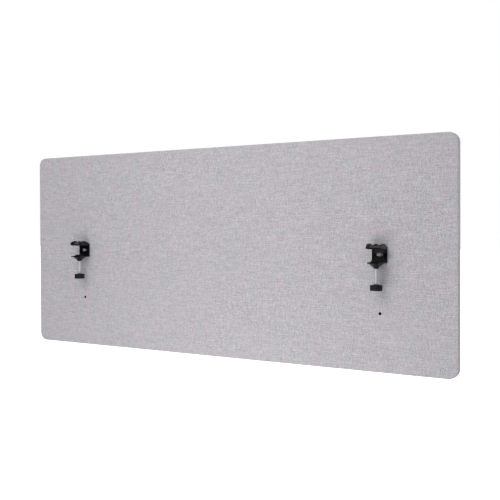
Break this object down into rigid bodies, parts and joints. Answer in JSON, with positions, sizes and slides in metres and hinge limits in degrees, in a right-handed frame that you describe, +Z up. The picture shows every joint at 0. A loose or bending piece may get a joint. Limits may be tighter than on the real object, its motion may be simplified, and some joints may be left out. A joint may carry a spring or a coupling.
{
  "type": "desk privacy panel",
  "caption": "Fabric-covered desk divider panel with rounded corners, held on a desk edge by black screw clamps in sliding brackets.",
  "frame": {"origin": "the middle of the panel's bottom edge, halfway through its thickness", "axes": "+X along the panel, to the right seen from the clamp side; +Y away from the clamps; +Z up"},
  "size_m": [1.4, 0.066, 0.6],
  "materials": {
    "cover_fabric": "heathered grey woven polyester",
    "padding_foam": "needled felt padding",
    "core_wood": "bare fibreboard",
    "powder_coat": "satin black powder coat",
    "black_steel": "black oxide steel",
    "zinc_steel": "bright zinc plate",
    "black_rubber": "matte moulded rubber",
    "knob_plastic": "fine-textured black nylon",
    "brass_insert": "plain turned"
  },
  "bodies": {
    "panel": {"core_board": "core_wood", "front_padding": "padding_foam", "back_padding": "padding_foam", "front_fabric": "cover_fabric", "back_fabric": "cover_fabric", "left_fixing_insert": "zinc_steel", "left_spare_insert": "black_steel", "left_fixing_screw": "zinc_steel", "right_fixing_insert": "zinc_steel", "right_spare_insert": "black_steel", "right_fixing_screw": "zinc_steel"},
    "left_clamp": {"left_bracket": "powder_coat", "left_jaw_pad": "black_rubber", "left_pad_rivet": "black_steel", "left_thread_bush": "black_steel"},
    "left_pressure_pad": {"left_pressure_facing": "black_rubber", "left_pressure_cup": "black_steel", "left_retaining_clip": "zinc_steel"},
    "left_screw": {"left_spindle": "zinc_steel", "left_knob": "knob_plastic", "left_knob_insert": "brass_insert"},
    "right_clamp": {"right_bracket": "powder_coat", "right_jaw_pad": "black_rubber", "right_pad_rivet": "black_steel", "right_thread_bush": "black_steel"},
    "right_pressure_pad": {"right_pressure_facing": "black_rubber", "right_pressure_cup": "black_steel", "right_retaining_clip": "zinc_steel"},
    "right_screw": {"right_spindle": "zinc_steel", "right_knob": "knob_plastic", "right_knob_insert": "brass_insert"}
  },
  "joints": [
    {"name": "left_slot_slide", "type": "slide", "parent": "panel", "child": "left_clamp", "axis": [1, 0, 0], "range_m": [-0.0068, 0.0068]},
    {"name": "left_pad_lift", "type": "slide", "parent": "left_clamp", "child": "left_pressure_pad", "axis": [0, 0, 1], "range_m": [0, 0.0275]},
    {"name": "left_knob_turn", "type": "hinge", "parent": "left_pressure_pad", "child": "left_screw", "pos_m": [-0.5, -0.035, 0.3], "axis": [0, 0, 1], "range_deg": [0, 7920]},
    {"name": "right_slot_slide", "type": "slide", "parent": "panel", "child": "right_clamp", "axis": [1, 0, 0], "range_m": [-0.0068, 0.0068]},
    {"name": "right_pad_lift", "type": "slide", "parent": "right_clamp", "child": "right_pressure_pad", "axis": [0, 0, 1], "range_m": [0, 0.0275]},
    {"name": "right_knob_turn", "type": "hinge", "parent": "right_pressure_pad", "child": "right_screw", "pos_m": [0.5, -0.035, 0.3], "axis": [0, 0, 1], "range_deg": [0, 7920]}
  ],
  "couplings": [
    {"joint": "left_knob_turn", "follows": "left_pad_lift", "rad_per_m": 5026.5},
    {"joint": "right_knob_turn", "follows": "right_pad_lift", "rad_per_m": 5026.5}
  ]
}
